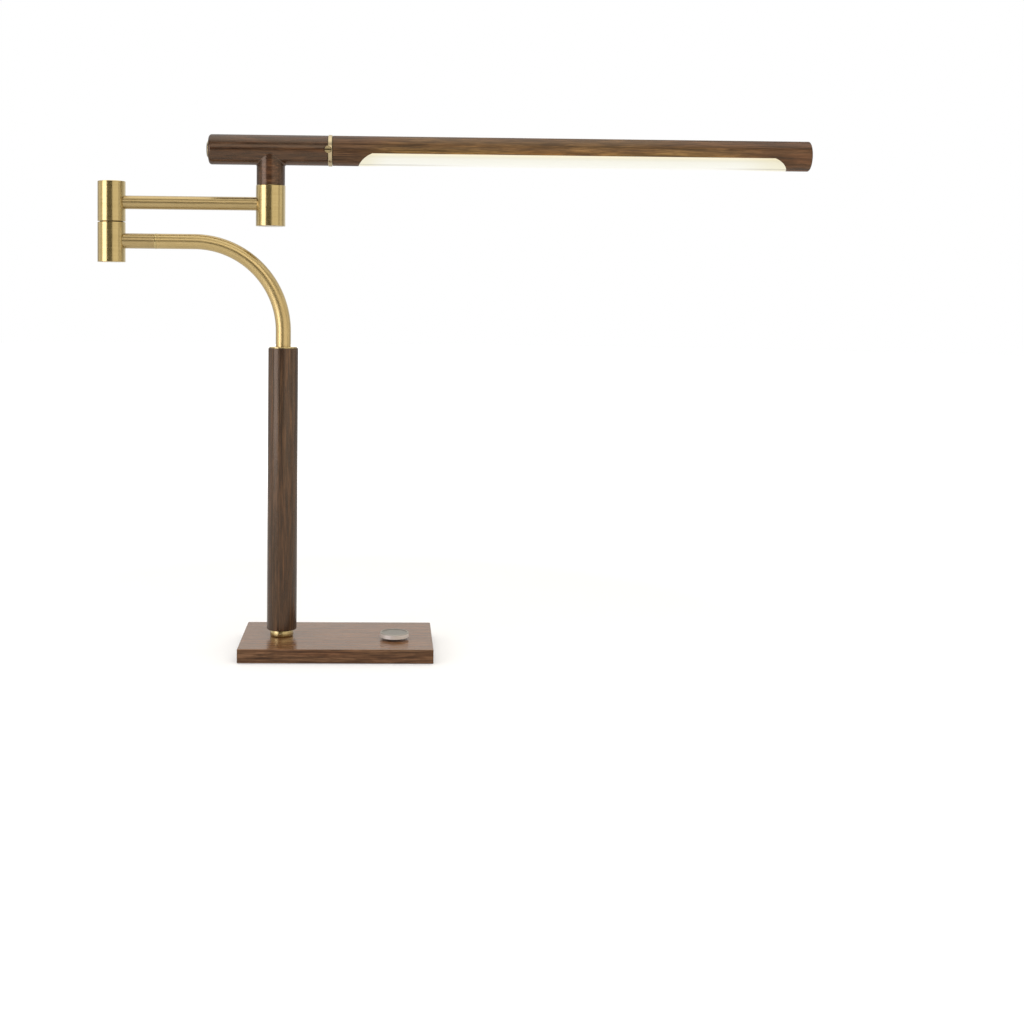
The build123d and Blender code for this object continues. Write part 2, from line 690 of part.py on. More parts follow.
def make_ring_sleeve():
    """The brass ring that shows, in one piece with the sleeve inside the tee."""
    ring = lying(RING_D, TEE_RIGHT, TEE_RIGHT + RING_WIDTH)
    faces = [outer_ring(ring, Axis.X, TEE_RIGHT), outer_ring(ring, Axis.X, TEE_RIGHT + RING_WIDTH)]
    ring = chamfer(faces, RING_ARRIS)
    sleeve = ring + lying(TEE_BORE - 2 * SEAT_FIT, TEE_RIGHT - SLEEVE_LENGTH, TEE_RIGHT)
    sleeve -= lying(PIVOT_D + 2 * PIVOT_FIT, TEE_RIGHT - SLEEVE_LENGTH, TEE_RIGHT + RING_WIDTH)
    sleeve -= lying(GLIDE_WASHER_D + 2 * SEAT_FIT, TEE_RIGHT + RING_WIDTH - GLIDE_SINK,
                    TEE_RIGHT + RING_WIDTH)
    return at_head(sleeve - lock_screw_hole())


def make_roll_glide():
    start = TEE_RIGHT + RING_WIDTH - GLIDE_SINK
    glide = lying(GLIDE_WASHER_D, start, bar_left - BEARING_PLAY)
    return at_head(glide - lying(PIVOT_D + 2 * GLIDE_CLEAR, start, bar_left))


# Light bar: a walnut bar on the roll bolt, cut away below for the light

def window_prism(play):
    """The space under the window's flat, with its two bowed ends, across the bar."""
    low_left = bar_left + WINDOW_START + play
    low_right = bar_right - WINDOW_STOP - play
    flat_left = low_left + WINDOW_END_RUN
    flat_right = low_right - WINDOW_END_RUN
    flat = -WINDOW_DROP
    low = -head_radius
    deep = low - HEAD_D / 4

    def bow(x1, z1, x2, z2, side):
        """A point beside the middle of a chord, pushed out by the bulge."""
        out_x = -(z2 - z1) * WINDOW_END_BULGE * side
        out_z = (x2 - x1) * WINDOW_END_BULGE * side
        return ((x1 + x2) / 2 + out_x, (z1 + z2) / 2 + out_z)

    left_mid = bow(low_left, low, flat_left, flat, 1)
    right_mid = bow(low_right, low, flat_right, flat, -1)
    outline = [
        Line((low_left, deep), (low_left, low)),
        ThreePointArc((low_left, low), left_mid, (flat_left, flat)),
        Line((flat_left, flat), (flat_right, flat)),
        ThreePointArc((flat_right, flat), right_mid, (low_right, low)),
        Line((low_right, low), (low_right, deep)),
        Line((low_right, deep), (low_left, deep)),
    ]
    section = Plane.XZ * make_face(outline)
    return extrude(section, HEAD_D, both=True)


def channel_span():
    start = bar_left + WINDOW_START + WINDOW_END_RUN + CHANNEL_INSET
    end = bar_right - WINDOW_STOP - WINDOW_END_RUN - CHANNEL_INSET
    return start, end


channel_start, channel_end = channel_span()
channel_middle = (channel_start + channel_end) / 2
channel_length = channel_end - channel_start
web_low = CHANNEL_HEIGHT - WINDOW_DROP - CHANNEL_WEB
board_low = web_low - BOARD_THICKNESS
board_length = channel_length - 2 * BOARD_INSET


def channel_screw_places():
    ends = (channel_start + CHANNEL_SCREW_INSET, channel_end - CHANNEL_SCREW_INSET)
    return [(x, CHANNEL_SCREW_ASIDE) for x in ends]


def make_bar():
    bar = lying(HEAD_D, bar_left, bar_right)
    bar = fillet(outer_ring(bar, Axis.X, bar_right), BAR_END_ROUND)
    bar = chamfer(outer_ring(bar, Axis.X, bar_left), RING_ARRIS)
    bar -= window_prism(0)
    top = CHANNEL_HEIGHT - WINDOW_DROP
    bar -= block(channel_length + 2 * WOOD_PLAY, CHANNEL_WIDTH + 2 * WOOD_PLAY,
                 -WINDOW_DROP, top, channel_middle)
    bar -= lying(TEE_BORE, bar_left, bar_left + BAR_PLUG_LENGTH)
    bar -= lying(PIVOT_BORE, bar_left, channel_start)
    bar -= lying(END_CAP_D + 2 * SEAT_FIT, bar_right - BAR_END_CAP_DEPTH, bar_right)
    for x, y in channel_screw_places():
        tip = web_low + CHANNEL_SCREW_LENGTH
        bar -= upright(CHANNEL_SCREW_D + 2 * SEAT_FIT, top, tip + WOOD_PLAY, x, y)
    return at_head(bar)


def make_bar_plug():
    start = bar_left
    end = bar_left + BAR_PLUG_LENGTH
    plug = lying(TEE_BORE - 2 * SEAT_FIT, start, end)
    return at_head(plug - lying(PIVOT_D + 2 * SEAT_FIT, start, end))


def make_roll_bolt():
    reach = bar_left + BAR_PLUG_LENGTH - (TEE_RIGHT - SLEEVE_LENGTH)
    return on_sleeve_end(pivot_bolt(bolt_tail, reach, False))


def make_bar_cap():
    return at_head(Pos(bar_right, 0, 0) * Rot(0, 0, 180) * end_cap(BAR_END_CAP_DEPTH))


def make_channel():
    top = CHANNEL_HEIGHT - WINDOW_DROP
    metal = block(channel_length, CHANNEL_WIDTH, -WINDOW_DROP, top, channel_middle)
    metal -= block(channel_length, CHANNEL_WIDTH - 2 * CHANNEL_SIDE, -WINDOW_DROP, web_low,
                   channel_middle)
    for x, y in channel_screw_places():
        metal -= upright(CHANNEL_SCREW_D + 2 * SEAT_FIT, web_low, top, x, y)
    return at_head(metal)


def make_channel_screws():
    screws = []
    for x, y in channel_screw_places():
        head = upright(CHANNEL_SCREW_HEAD_D, web_low - CHANNEL_SCREW_HEAD_HEIGHT, web_low, x, y)
        shank = upright(CHANNEL_SCREW_D, web_low, web_low + CHANNEL_SCREW_LENGTH, x, y)
        screws.append(at_head(head + shank))
    return Compound(children=screws)


def make_led_board():
    return at_head(block(board_length, BOARD_WIDTH, board_low, web_low, channel_middle))


def make_leds():
    count = int((board_length - LED_PITCH) // LED_PITCH) + 1
    first = channel_middle - (count - 1) * LED_PITCH / 2
    chips = []
    for i in range(count):
        chip = block(LED_LENGTH, LED_WIDTH, board_low - LED_HEIGHT, board_low,
                     first + i * LED_PITCH)
        chips.append(at_head(chip))
    return Compound(children=chips)


def make_diffuser():
    """An opal moulding that fills the window flush with the bar's round."""
    start = bar_left + WINDOW_START
    end = bar_right - WINDOW_STOP
    outer = lying(HEAD_D, start, end) & window_prism(DIFFUSER_PLAY)
    inner = lying(HEAD_D - 2 * DIFFUSER_WALL, start, end)
    hollow = block(channel_length, CHANNEL_WIDTH - 2 * CHANNEL_SIDE, -head_radius,
                   -WINDOW_DROP, channel_middle)
    return at_head(outer - (inner & hollow))


# Dimmer: a disc knob on a shaft that turns and sinks, over a board in the base

driver_low = cover_top + DRIVER_LIFT
driver_top = driver_low + DRIVER_THICKNESS
knob_low = base_top + KNOB_LIFT
knob_top = knob_low + KNOB_THICKNESS
recess_top = knob_low + KNOB_RECESS
boss_low = base_top + DIMMER_NUT_HEIGHT + KNOB_TRAVEL + TURN_CLEAR
shaft_top = knob_top - KNOB_DISH - KNOB_FACE
rotor_high = pocket_top - TURN_CLEAR
rotor_low = rotor_high - DIMMER_ROTOR_HEIGHT
dome_top = driver_top + DIMMER_FLOOR + DOME_HEIGHT
shaft_low = dome_top + TURN_CLEAR + KNOB_TRAVEL


def at_dimmer(shape):
    return Pos(knob_x, knob_y, 0) * shape


def flat_cut(play, high):
    """What the flat along the shaft's lower end takes away, up to a height."""
    depth = DIMMER_SHAFT_D / 2
    face = depth - DIMMER_FLAT + play
    return block(depth, DIMMER_SHAFT_D + CUT_OVER, base_low, high, face + depth / 2)


def make_knob():
    disc = upright(KNOB_D, knob_low, knob_top)
    disc = chamfer(outer_ring(disc, Axis.Z, knob_top), KNOB_ARRIS)
    disc -= upright(KNOB_D - 2 * KNOB_ARRIS - 2 * KNOB_RIM, knob_top - KNOB_DISH, knob_top)
    disc -= upright(KNOB_RECESS_D, knob_low, recess_top)
    disc += upright(KNOB_BOSS_D, boss_low, recess_top)
    return at_dimmer(disc - upright(DIMMER_SHAFT_D + 2 * SEAT_FIT, boss_low, shaft_top))


def make_dimmer_shaft():
    flat_high = rotor_high + KNOB_TRAVEL + TURN_CLEAR
    return at_dimmer(upright(DIMMER_SHAFT_D, shaft_low, shaft_top) - flat_cut(0, flat_high))


def make_dimmer_rotor():
    rotor = upright(DIMMER_ROTOR_D, rotor_low, rotor_high)
    hole = upright(DIMMER_SHAFT_D + 2 * PIVOT_FIT, rotor_low, rotor_high)
    hole -= flat_cut(PIVOT_FIT, rotor_high)
    return at_dimmer(rotor - hole)


def make_dimmer_housing():
    box = block(DIMMER_HOUSING, DIMMER_HOUSING, driver_top, pocket_top)
    cavity = upright(DIMMER_ROTOR_D + 2 * PIVOT_FIT, driver_top + DIMMER_FLOOR, pocket_top)
    return at_dimmer(box - cavity)


def make_dimmer_bush():
    high = base_top + DIMMER_NUT_HEIGHT
    return at_dimmer(washer(DIMMER_BUSH_D, DIMMER_SHAFT_D + 2 * PIVOT_FIT, pocket_top, high))


def make_dimmer_nut():
    high = base_top + DIMMER_NUT_HEIGHT
    nut = hexagon(DIMMER_NUT_FLATS, base_top, high)
    return at_dimmer(nut - upright(DIMMER_BUSH_D + 2 * SEAT_FIT, base_top, high))


def make_contact_dome():
    """The snap dome that the shaft is pressed against, fixed at its rim."""
    floor = driver_top + DIMMER_FLOOR
    r = DOME_D / 2
    t = DOME_THICKNESS
    crown = floor + DOME_HEIGHT
    outline = Plane.XZ * Polyline((0, crown), (r / 2, crown), (r, floor + t), (r, floor),
                                  (r / 2, crown - t), (0, crown - t), close=True)
    return at_dimmer(revolve(make_face(outline), axis=Axis.Z))


def make_driver_board():
    return block(DRIVER_LENGTH, driver_back - driver_front, driver_low, driver_top,
                 knob_x, (driver_front + driver_back) / 2)


def board_part(length, width, height, x, y):
    """A square part that stands on the driver board."""
    return block(length, width, driver_top, driver_top + height, x, y)


def board_can(diameter, height, x, y):
    """A round part that stands on the driver board."""
    return upright(diameter, driver_top, driver_top + height, x, y)


def make_driver_parts():
    """A coil, a capacitor, two chips and two terminal blocks, soldered to the board."""
    left = driver_left + PART_INSET
    right = driver_right - PART_INSET
    back = driver_back - PART_INSET
    supply_terminal = board_part(TERMINAL_WIDTH, TERMINAL_LENGTH, TERMINAL_HEIGHT, knob_x, back)
    light_terminal = board_part(TERMINAL_LENGTH, TERMINAL_WIDTH, TERMINAL_HEIGHT, left, 0)
    coil = board_can(COIL_D, COIL_HEIGHT, right, back - 2 * COIL_D)
    capacitor = board_can(CAPACITOR_D, CAPACITOR_HEIGHT, left, back - 2 * CAPACITOR_D)
    driver_chip = board_part(CHIP_LENGTH, CHIP_WIDTH, CHIP_HEIGHT, knob_x, back - 2 * COIL_D)
    control_chip = board_part(CHIP_WIDTH, CHIP_LENGTH, CHIP_HEIGHT, right, knob_y)
    return Compound(children=[supply_terminal, light_terminal, coil, capacitor,
                              driver_chip, control_chip])


# Lead: one two-core lead from the board to the lamps, cut where each pivot turns

def lead_solid(points, radii):
    """A lead along straight runs joined by tangent arcs."""
    path = FilletPolyline(*points, radius=radii)
    return sweep(Plane(path @ 0, z_dir=path % 0) * Circle(LEAD_D / 2), path)


lead_low = cover_top + LEAD_D / 2 + LEAD_PLAY
elbow_tail = elbow_wall - bolt_tail
head_tail = head_wall - bolt_tail


def make_base_lead():
    points = [(driver_left, 0, lead_low), (column_x, 0, lead_low), (column_x, 0, tube_z),
              (elbow_x, 0, tube_z), (elbow_x, 0, elbow_tail + LEAD_D)]
    return lead_solid(points, [BASE_LEAD_TURN, BEND_RADIUS, LEAD_TURN])


def make_arm_lead():
    start = elbow_tail + LEAD_D + LEAD_GAP
    points = [(elbow_x, 0, start), (elbow_x, 0, arm_z), (head_x, 0, arm_z),
              (head_x, 0, head_tail + LEAD_D / 2)]
    return lead_solid(points, [LEAD_TURN, LEAD_TURN])


def make_head_lead():
    start = head_tail + LEAD_D / 2 + LEAD_GAP - head_z
    end = TEE_RIGHT - SLEEVE_LENGTH - bolt_tail + LEAD_D
    points = [(0, 0, start), (0, 0, 0), (end, 0, 0)]
    return at_head(lead_solid(points, [HEAD_LEAD_TURN]))


def make_bar_lead():
    start = TEE_RIGHT - SLEEVE_LENGTH - bolt_tail + LEAD_D + LEAD_GAP
    end = channel_start + BOARD_INSET
    return at_head(lying(LEAD_D, start, end, z=web_low - LEAD_D / 2 - SEAT_FIT))


NODES = {
    "base_plate": make_base_plate,
    "ballast_plate": make_ballast,
    "bottom_cover": make_bottom_cover,
    "cover_screws": make_cover_screws,
    "anti_slip_sheet": make_anti_slip_sheet,
    "cord_grommet": make_cord_grommet,
    "column_collar": make_collar,
    "column": make_column,
    "tie_rod": make_tie_rod,
    "tie_washer": make_tie_washer,
    "tie_nut": make_tie_nut,
    "column_ferrule": make_ferrule,
    "bent_tube": make_bent_tube,
    "elbow_stub": make_elbow_stub,
    "tube_coupler": make_tube_coupler,
    "lower_barrel": make_lower_barrel,
    "lower_barrel_lid": lambda: lid(lower_barrel_low, elbow_x),
    "elbow_glide_washer": make_elbow_glide,
    "upper_barrel": make_upper_barrel,
    "upper_barrel_lid": lambda: lid(upper_barrel_top - LID_THICKNESS, elbow_x),
    "elbow_bolt": make_elbow_bolt,
    "elbow_washers": lambda: on_elbow_wall(pivot_washers()),
    "elbow_nut": lambda: on_elbow_wall(pivot_nut()),
    "arm_tube": make_arm_tube,
    "head_barrel": make_head_barrel,
    "head_barrel_lid": lambda: lid(head_barrel_low, head_x),
    "neck_glide_washer": make_neck_glide,
    "neck_bolt": make_neck_bolt,
    "neck_washers": lambda: on_head_wall(pivot_washers()),
    "neck_nut": lambda: on_head_wall(pivot_nut()),
    "head_tee": make_tee,
    "neck_insert": make_neck_insert,
    "tee_end_cap": make_tee_cap,
    "ring_sleeve": make_ring_sleeve,
    "ring_lock_screw": make_lock_screw,
    "roll_glide_washer": make_roll_glide,
    "roll_bolt": make_roll_bolt,
    "roll_washers": lambda: on_sleeve_end(pivot_washers()),
    "roll_nut": lambda: on_sleeve_end(pivot_nut()),
    "light_bar": make_bar,
    "bar_plug": make_bar_plug,
    "bar_end_cap": make_bar_cap,
    "led_channel": make_channel,
    "channel_screws": make_channel_screws,
    "led_board": make_led_board,
    "leds": make_leds,
    "diffuser": make_diffuser,
    "dimmer_knob": make_knob,
    "dimmer_shaft": make_dimmer_shaft,
    "dimmer_rotor": make_dimmer_rotor,
    "dimmer_housing": make_dimmer_housing,
    "dimmer_bush": make_dimmer_bush,
    "dimmer_nut": make_dimmer_nut,
    "contact_dome": make_contact_dome,
    "driver_board": make_driver_board,
    "driver_parts": make_driver_parts,
    "base_lead": make_base_lead,
    "arm_lead": make_arm_lead,
    "head_lead": make_head_lead,
    "bar_lead": make_bar_lead,
}

os.makedirs("parts", exist_ok=True)
for name, make in NODES.items():
    export_step(make(), f"parts/{name}.step")
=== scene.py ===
"""Table lamp: a walnut base and column, a bent brass tube, a folding brass arm and a long
walnut light bar with a glowing underside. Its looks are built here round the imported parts."""
import math

import bpy
from mathutils import Matrix, Vector


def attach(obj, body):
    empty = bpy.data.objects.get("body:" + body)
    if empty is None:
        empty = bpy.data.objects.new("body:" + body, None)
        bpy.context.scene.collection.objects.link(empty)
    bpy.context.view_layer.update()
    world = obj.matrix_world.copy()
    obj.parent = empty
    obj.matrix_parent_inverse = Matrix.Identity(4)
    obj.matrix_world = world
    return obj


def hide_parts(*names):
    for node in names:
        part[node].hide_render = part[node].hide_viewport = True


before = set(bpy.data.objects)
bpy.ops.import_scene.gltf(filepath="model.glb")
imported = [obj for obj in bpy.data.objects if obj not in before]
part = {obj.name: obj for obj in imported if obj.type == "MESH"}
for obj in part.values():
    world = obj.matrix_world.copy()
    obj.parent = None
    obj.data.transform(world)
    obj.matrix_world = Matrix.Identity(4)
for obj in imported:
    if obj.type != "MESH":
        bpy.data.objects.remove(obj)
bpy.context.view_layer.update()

# Camera: a 49 mm lens 1.47 m in front of the lamp and a little above half its height. It is
# dipped, turned and tilted by a few degrees, and its film is shifted, as the photograph shows.
CAMERA_PLACE = (0.04886, -1.46995, 0.37557)
CAMERA_TURN, CAMERA_DIP, CAMERA_TILT = 0.02608, 0.04516, 0.00984
camera = bpy.data.objects.new("camera", bpy.data.cameras.new("camera"))
camera.data.sensor_width = 36
camera.data.lens = 49.21875
camera.data.shift_x = 0.0875
camera.data.shift_y = -0.15
camera.data.clip_start, camera.data.clip_end = 0.05, 60
camera.matrix_world = (
    Matrix.Translation(CAMERA_PLACE)
    @ Matrix.Rotation(-CAMERA_TURN, 4, "Z")
    @ Matrix.Rotation(math.pi / 2 - CAMERA_DIP, 4, "X")
    @ Matrix.Rotation(CAMERA_TILT, 4, "Z")
)
bpy.context.scene.collection.objects.link(camera)
bpy.context.scene.camera = camera
bpy.context.scene.view_settings.view_transform = "Standard"


# Studio floor: a white board, painted with a roller. It is shaded, so it keeps the lamp's shadow,
# and what the camera and the metal see of it is lifted to the white of the backdrop.
def colour(code):
    """An sRGB hex value as linear red, green, blue and alpha."""
    parts = [int(code[i:i + 2], 16) / 255 for i in (1, 3, 5)]
    return tuple(c / 12.92 if c <= 0.04045 else ((c + 0.055) / 1.055) ** 2.4 for c in parts) + (1,)


def finish_named(name):
    """A new material, and its empty node tree."""
    made = bpy.data.materials.new(name)
    made.use_nodes = True
    made.node_tree.nodes.clear()
    return made, made.node_tree


def put(tree, kind, sockets=None, stops=(), **settings):
    """One node, with its settings, a value or a link for each socket, and the stops of a ramp.
    A node given as a value links its first output in use. A mix takes its colours at 6 and 7."""
    made = tree.nodes.new("ShaderNode" + kind)
    for key, value in settings.items():
        setattr(made, key, value)
    for key, value in (sockets or {}).items():
        if isinstance(value, bpy.types.Node):
            value = next(output for output in value.outputs if output.enabled)
        if isinstance(value, bpy.types.NodeSocket):
            tree.links.new(value, made.inputs[key])
        else:
            made.inputs[key].default_value = value
    if stops:
        ramp = made.color_ramp.elements
        ramp[0].position, ramp[1].position = stops[0][0], stops[-1][0]
        for at, _ in stops[1:-1]:
            ramp.new(at)
        for stop, (_, code) in zip(ramp, stops):
            stop.color = colour(code)
    return made


FLOOR_RADIUS = 9
FLOOR_NEAR, FLOOR_FAR = 0.5, 1.6
NEAR_LIFT, FAR_LIFT, MIRRORED_SHARE = 0.22, 1.0, 0.06
bpy.ops.object.select_all(action="DESELECT")
bpy.ops.mesh.primitive_circle_add(vertices=96, radius=FLOOR_RADIUS, fill_type="NGON")
floor = bpy.context.object
floor.name = "floor"
# Roller paint on board: matt white, with a stipple of 25 mm that is hardly seen.
painted_board, tree = finish_named("white_painted_board")
where = put(tree, "TexCoord").outputs["Object"]
stipple = put(tree, "TexNoise", {"Vector": where, "Scale": 40.0})
shade = put(tree, "MapRange", {"Value": stipple, "To Min": 0.78, "To Max": 0.82})
matt = put(tree, "BsdfDiffuse", {"Color": shade})
reach = put(tree, "VectorMath", {0: where}, operation="LENGTH")
lift = put(tree, "MapRange", {"Value": reach, "From Min": FLOOR_NEAR, "From Max": FLOOR_FAR,
                              "To Min": NEAR_LIFT, "To Max": FAR_LIFT})
ray = put(tree, "LightPath")
mirrored = put(tree, "Math", {0: ray.outputs["Is Glossy Ray"], 1: ray.outputs["Is Transmission Ray"]},
               operation="MAXIMUM")
mirrored = put(tree, "Math", {0: mirrored, 1: MIRRORED_SHARE}, operation="MULTIPLY")
seen = put(tree, "Math", {0: ray.outputs["Is Camera Ray"], 1: mirrored}, operation="MAXIMUM")
lift = put(tree, "Math", {0: lift, 1: seen}, operation="MULTIPLY")
lifted = put(tree, "Emission", {"Strength": lift})
both = put(tree, "AddShader", {0: matt, 1: lifted})
put(tree, "OutputMaterial", {"Surface": both})
floor.data.materials.append(painted_board)

# Studio air: white for the camera. Round the lamp it is a white backdrop behind, grey walls at
# the sides and a dim room behind the camera, which gives the metal its light and dark bands.
BACKDROP_SIDE = (0.12, 0.62, 0.775)
room = bpy.data.worlds.new("studio")
bpy.context.scene.world = room
room.use_nodes = True
tree = room.node_tree
tree.nodes.clear()
ray = put(tree, "LightPath")
toward = put(tree, "TexCoord")
facing = put(tree, "VectorMath", {0: toward.outputs["Generated"], 1: BACKDROP_SIDE},
             operation="DOT_PRODUCT")
facing = put(tree, "MapRange", {"Value": facing, "From Min": -1.0})
walls = put(tree, "ValToRGB", {"Fac": facing}, stops=(
    (0.0, "#403c37"), (0.3, "#544f49"), (0.48, "#837e77"), (0.66, "#b3afa8"), (0.82, "#fbfaf8"),
    (0.93, "#e4e1dc"), (1.0, "#b9b5af")))
air = put(tree, "Mix", {0: ray.outputs["Is Camera Ray"], 6: walls, 7: (1, 1, 1, 1)},
          data_type="RGBA")
sky = put(tree, "Background", {"Color": air, "Strength": 1.0})
put(tree, "OutputWorld", {"Surface": sky})


# Studio lamps: a tall soft box at the left and a wide dimmer one at the right, each with a white
# card beyond it, a strip above the camera and a broad box overhead.
def soft_box(name, place, aim, width, height, watts, tint):
    """A soft lamp of that size, turned from its place towards its aim, and unseen itself."""
    made = bpy.data.lights.new(name, "AREA")
    made.shape, made.size, made.size_y, made.energy = "RECTANGLE", width, height, watts
    made.color = colour(tint)[:3]
    lamp = bpy.data.objects.new(name, made)
    lamp.location = place
    lamp.rotation_euler = (Vector(aim) - Vector(place)).to_track_quat("-Z", "Y").to_euler()
    lamp.visible_camera = False
    bpy.context.scene.collection.objects.link(lamp)


soft_box("left_soft_box", (-1.442, -1.061, 0.45), (-0.102, -0.11, 0.4), 1.077, 1.6, 16.5, "#fbf8ff")
soft_box("left_white_card", (-1.93, 0.09, 0.45), (-0.2, 0, 0.4), 1.5, 1.6, 4.6, "#fff9f0")
soft_box("right_soft_box", (1.0315, -1.233, 0.45), (0.094, 0.161, 0.35), 1.792, 1.4, 7.3, "#fff8ee")
soft_box("right_white_card", (1.97, -0.06, 0.45), (0, 0, 0.4), 1.0, 1.6, 3.3, "#fff8ee")
soft_box("strip_above_camera", (0.1, -1.55, 1.27), (0, 0, 0.42), 1.7, 0.7, 5.8, "#fffaf2")
soft_box("overhead_soft_box", (0.1, 0.1, 1.9), (0, 0, 0), 2.6, 2.0, 13, "#fffdf8")


# Base: a board of walnut, planed, lightly rounded at its edges and oiled. Its grain runs along
# the board, with long flowing bands, fine fibres and short dark pores.
WALNUT_IOR, OIL_TINT, WALNUT_RELIEF = 1.48, "#ffe6cd", 0.00012
# Marks to the metre: bands 18 mm wide, reddish patches 11 mm, streaks 2.6 mm, fibres 1.3 mm and
# pores 0.9 mm. Real fibres and pores are finer than 0.3 mm, too fine to show in the render, so
# they are drawn as coarse as they need to show.
BANDS, PATCHES, STREAKS, FIBRES, PORES = 55.0, 90.0, 380.0, 760.0, 1100.0
# How much longer marks are along the grain than across it: 12 to 17 times, and fibres 22 to 29.
LONG_MARKS = {"X": (0.08, 1, 1), "Z": (1, 1, 0.06)}
LONG_FIBRES = {"X": (0.045, 1, 1), "Z": (1, 1, 0.035)}
BAND_TURNS = 46.0
BAND_SHARE, STREAK_SHARE, FIBRE_SHARE = 0.06, 0.75, 0.85


def walnut(name, along, shift, light, middle, dark, gloss, sheen, graze):
    """Oiled walnut. Along is the grain's axis, shift picks the stretch of the log, and sheen and
    graze are the gloss face on and edge on. Its sawn ends are darker, as end grain soaks up
    more oil, and the darkening is also painted shade on their rounded rims."""
    made, tree = finish_named(name)
    where = put(tree, "TexCoord")
    log = put(tree, "Mapping", {"Vector": where.outputs["Object"], "Location": shift,
                                "Scale": LONG_MARKS[along]})
    hair = put(tree, "Mapping", {"Vector": where.outputs["Object"], "Location": shift,
                                 "Scale": LONG_FIBRES[along]})
    # The marks: flowing bands, short streaks, long fibres and scattered pores.
    bend = put(tree, "TexNoise", {"Vector": log, "Scale": BANDS, "Detail": 2.0, "Distortion": 0.6})
    turns = put(tree, "Math", {0: bend, 1: BAND_TURNS}, operation="MULTIPLY")
    rings = put(tree, "Math", {0: turns}, operation="SINE")
    streak = put(tree, "TexNoise", {"Vector": log, "Scale": STREAKS, "Detail": 3.0,
                                    "Roughness": 0.65, "Distortion": 0.3})
    fibre = put(tree, "TexNoise", {"Vector": hair, "Scale": FIBRES, "Detail": 3.0,
                                   "Roughness": 0.65})
    pore = put(tree, "TexNoise", {"Vector": log, "Scale": PORES, "Detail": 1.0})
    open_pore = put(tree, "MapRange", {"Value": pore, "From Min": 0.58, "From Max": 0.7,
                                       "To Max": 0.55})
    # A point's tone is its band, streak and fibre together, from the dark stain to the light one.
    tone = 0.0
    for mark, share in ((rings, BAND_SHARE), (streak, STREAK_SHARE), (fibre, FIBRE_SHARE)):
        tone = put(tree, "Math", {0: mark, 1: share, 2: tone}, operation="MULTIPLY_ADD")
    tone = put(tree, "MapRange", {"Value": tone, "From Min": 0.56, "From Max": 1.04})
    stain = put(tree, "ValToRGB", {"Fac": tone}, stops=((0.0, dark), (0.5, middle), (1.0, light)))
    red = put(tree, "TexNoise", {"Vector": log, "Scale": PATCHES, "Detail": 1.0})
    warm = put(tree, "MapRange", {"Value": red, "From Min": 0.4, "From Max": 0.7})
    wood = put(tree, "Mix", {0: warm, 6: stain, 7: (1.07, 0.92, 0.86, 1)},
               data_type="RGBA", blend_type="MULTIPLY")
    wood = put(tree, "Mix", {0: open_pore, 6: wood, 7: colour(dark)}, data_type="RGBA")
    # Sawn ends face along the grain. Their darkening is end grain, and also painted shade on the
    # rounded rims.
    outward = put(tree, "SeparateXYZ", {"Vector": where.outputs["Normal"]})
    endward = put(tree, "Math", {0: outward.outputs[along]}, operation="ABSOLUTE")
    end_grain_and_shade = put(tree, "MapRange", {"Value": endward, "From Min": 0.35, "From Max": 0.8,
                                  "To Max": 0.75})
    wood = put(tree, "Mix", {0: end_grain_and_shade, 6: wood, 7: colour(dark)}, data_type="RGBA")
    # The oil fills the fibres unevenly and leaves the pores open, and shines by the angle.
    dull = put(tree, "MapRange", {"Value": fibre, "From Min": 0.3, "From Max": 0.7,
                                  "To Min": gloss, "To Max": gloss + 0.1})
    relief = put(tree, "Math", {0: fibre, 1: open_pore}, operation="SUBTRACT")
    rough = put(tree, "Bump", {"Strength": 0.35, "Distance": WALNUT_RELIEF, "Height": relief})
    view = put(tree, "LayerWeight", {"Blend": 0.5})
    oil = put(tree, "MapRange", {"Value": view.outputs["Facing"], "From Min": 0.35,
                                 "From Max": 0.8, "To Min": sheen, "To Max": graze})
    skin = put(tree, "BsdfPrincipled", {
        "Base Color": wood, "Roughness": dull, "IOR": WALNUT_IOR, "Specular IOR Level": oil,
        "Specular Tint": colour(OIL_TINT), "Normal": rough}, name="skin")
    put(tree, "OutputMaterial", {"Surface": skin})
    return made


def wash(material, amount, tint, blend="MULTIPLY"):
    """A tint over the colour that this material has so far, as strong as amount says."""
    tree = material.node_tree
    ground = tree.nodes["skin"].inputs["Base Color"]
    tinted = put(tree, "Mix", {0: amount, 6: ground.links[0].from_socket, 7: tint},
                 data_type="RGBA", blend_type=blend)
    tree.links.new(tinted.outputs[2], ground)


def wear(material, *nodes):
    """The named parts get this material, and keep their own solids."""
    for name in nodes:
        part[name].data.materials.clear()
        part[name].data.materials.append(material)


# Oiled board: mid-brown with clear grain on its edges. Its top is painted paler, hazier and
# greyer than they are: painted light from above and a painted sheen.
base_walnut = walnut("oiled_walnut_board", "X", (0.0, 0.034, -0.061), "#7d5c42", "#5b402a",
                     "#352115", 0.15, 0.5, 0.5)
tree = base_walnut.node_tree
split = put(tree, "SeparateXYZ", {"Vector": put(tree, "TexCoord").outputs["Normal"]})
painted_top_light = put(tree, "MapRange", {"Value": split.outputs["Z"], "From Min": 0.6, "From Max": 0.95})
painted_top_sheen = put(tree, "Math", {0: painted_top_light, 1: 0.45}, operation="MULTIPLY")
# Painted light and sheen: the top is washed paler, then veiled with a grey-brown haze.
wash(base_walnut, painted_top_light, (1.6, 1.5, 1.3, 1))
wash(base_walnut, painted_top_sheen, colour("#735439"), blend="MIX")
wear(base_walnut, "base_plate")


# Under the base: a steel ballast slab in the pocket, a pressed cover under it with its four
# screws, and the long tie rod, washer and nut that hold the column down. All is zinc-plated.
METAL_RELIEF, ZINC_GRIT = 0.00005, 900


